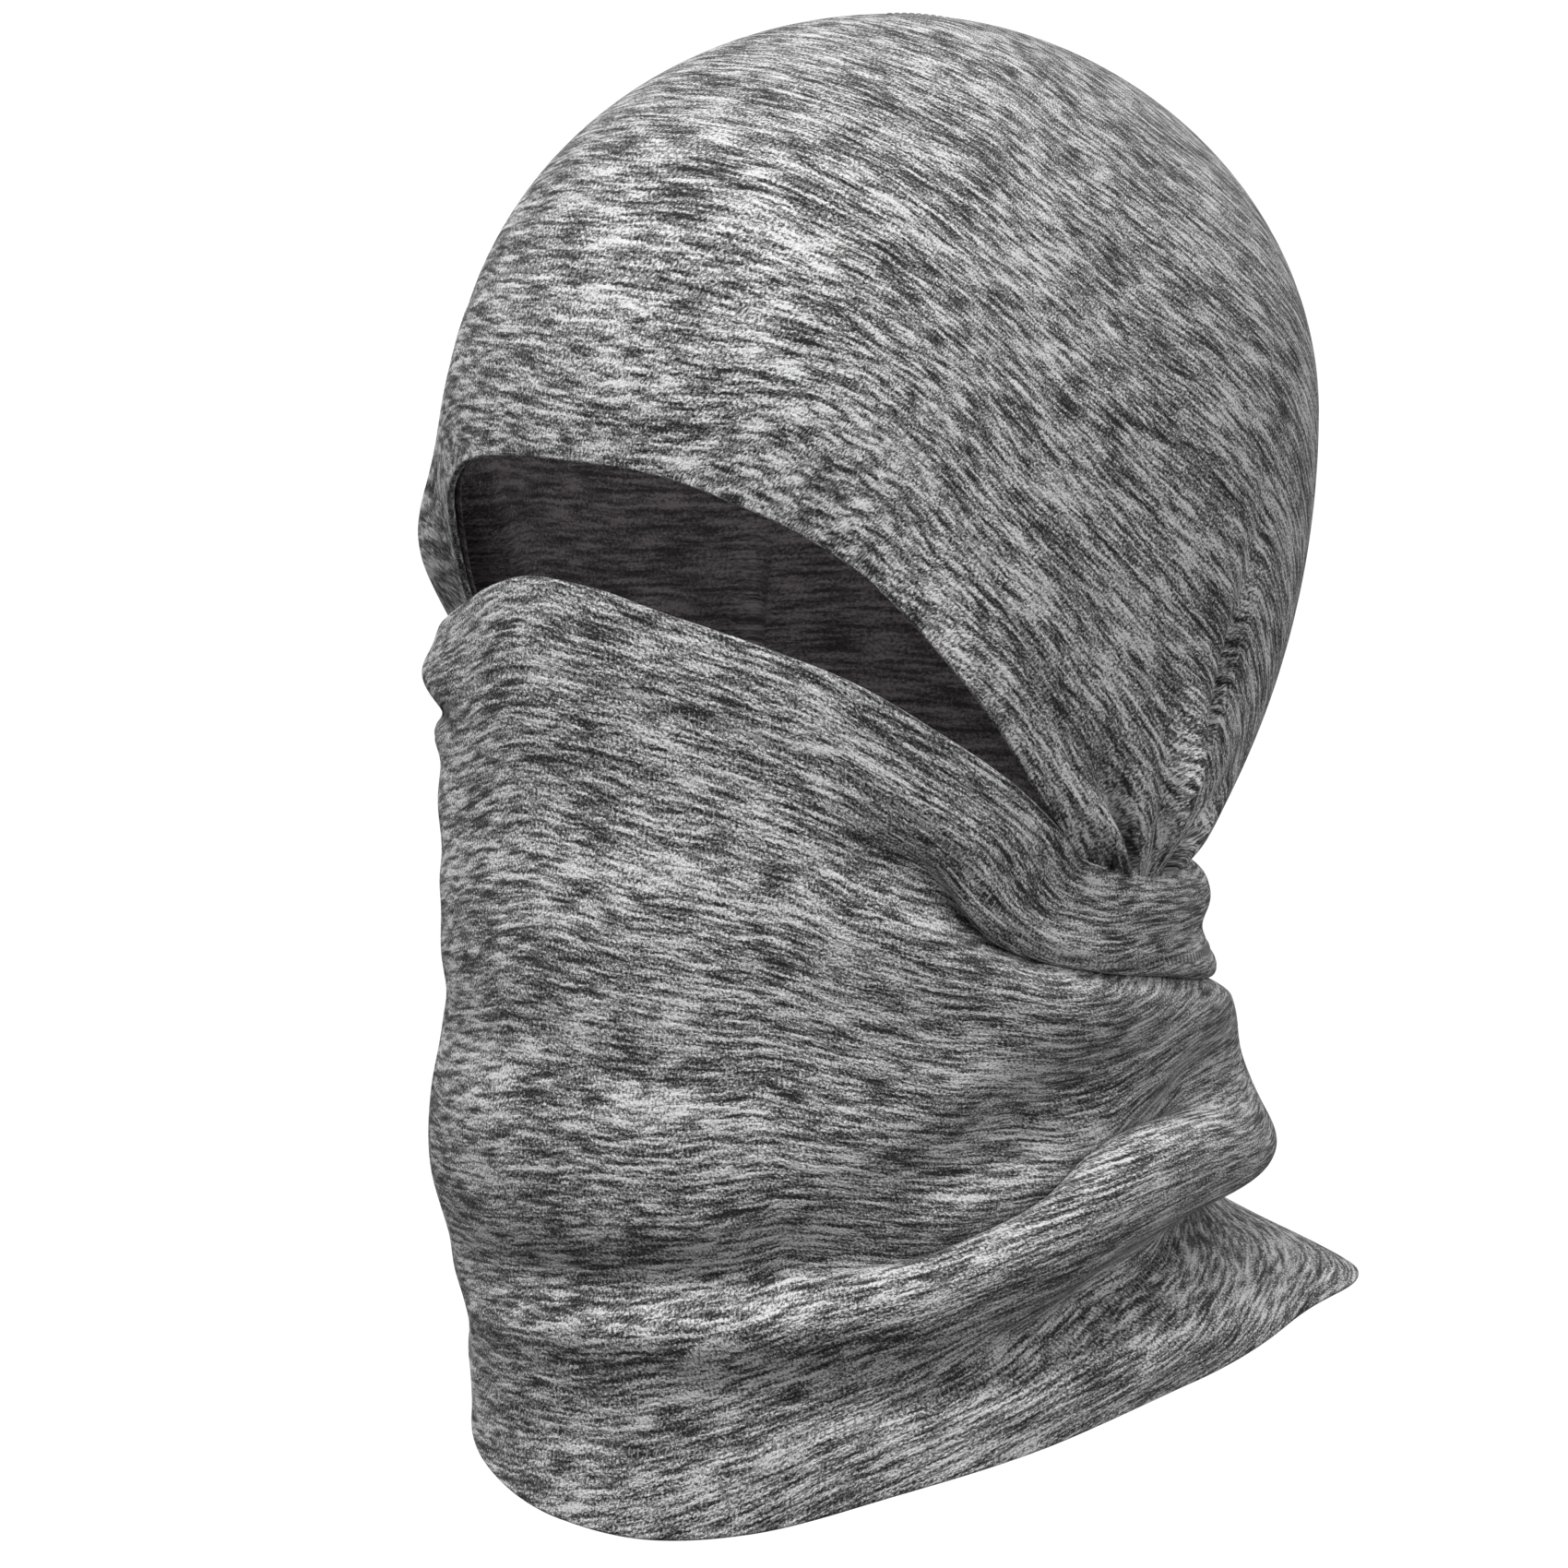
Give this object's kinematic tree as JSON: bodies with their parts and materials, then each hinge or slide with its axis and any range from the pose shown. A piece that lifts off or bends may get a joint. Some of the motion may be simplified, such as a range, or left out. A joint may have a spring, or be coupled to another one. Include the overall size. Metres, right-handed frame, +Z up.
{
  "type": "balaclava",
  "caption": "Heather grey fleece balaclava with a dark lining: a hood that folds back, a face mask that pulls down, and a flared neck tube.",
  "frame": {"origin": "middle of the head cavity, level with the edge of the cloth over the brow", "axes": "+Z up as worn, the wearer faces -Y, +X is the wearer's left"},
  "size_m": [0.172, 0.2175, 0.3324],
  "materials": {
    "heather_fleece": "brushed, heather grey",
    "dark_lining": "brushed, dark heather",
    "elastic_tape": "woven tape",
    "sewing_thread": "matte thread",
    "label_tape": "satin tape"
  },
  "bodies": {
    "neck": {"neck_outer": "heather_fleece", "neck_lining": "dark_lining", "nape_elastic": "elastic_tape", "nape_seam_stitching": "sewing_thread", "neck_back_seam": "sewing_thread", "bottom_hem_stitching": "sewing_thread", "care_label": "label_tape"},
    "hood": {"hood_outer": "heather_fleece", "hood_lining": "dark_lining", "brow_elastic": "elastic_tape", "brow_hem_stitching": "sewing_thread", "hood_back_seam": "sewing_thread"},
    "mask": {"mask_outer": "heather_fleece", "mask_lining": "dark_lining", "mask_elastic": "elastic_tape", "mask_hem_stitching": "sewing_thread"}
  },
  "joints": [
    {"name": "hood_fold", "type": "hinge", "parent": "neck", "child": "hood", "pos_m": [0, 0.076, -0.087], "axis": [-1, 0, 0], "range_deg": [0, 70]},
    {"name": "mask_drop", "type": "hinge", "parent": "neck", "child": "mask", "pos_m": [0, 0.015, -0.083], "axis": [1, 0, 0], "range_deg": [0, 25]}
  ]
}
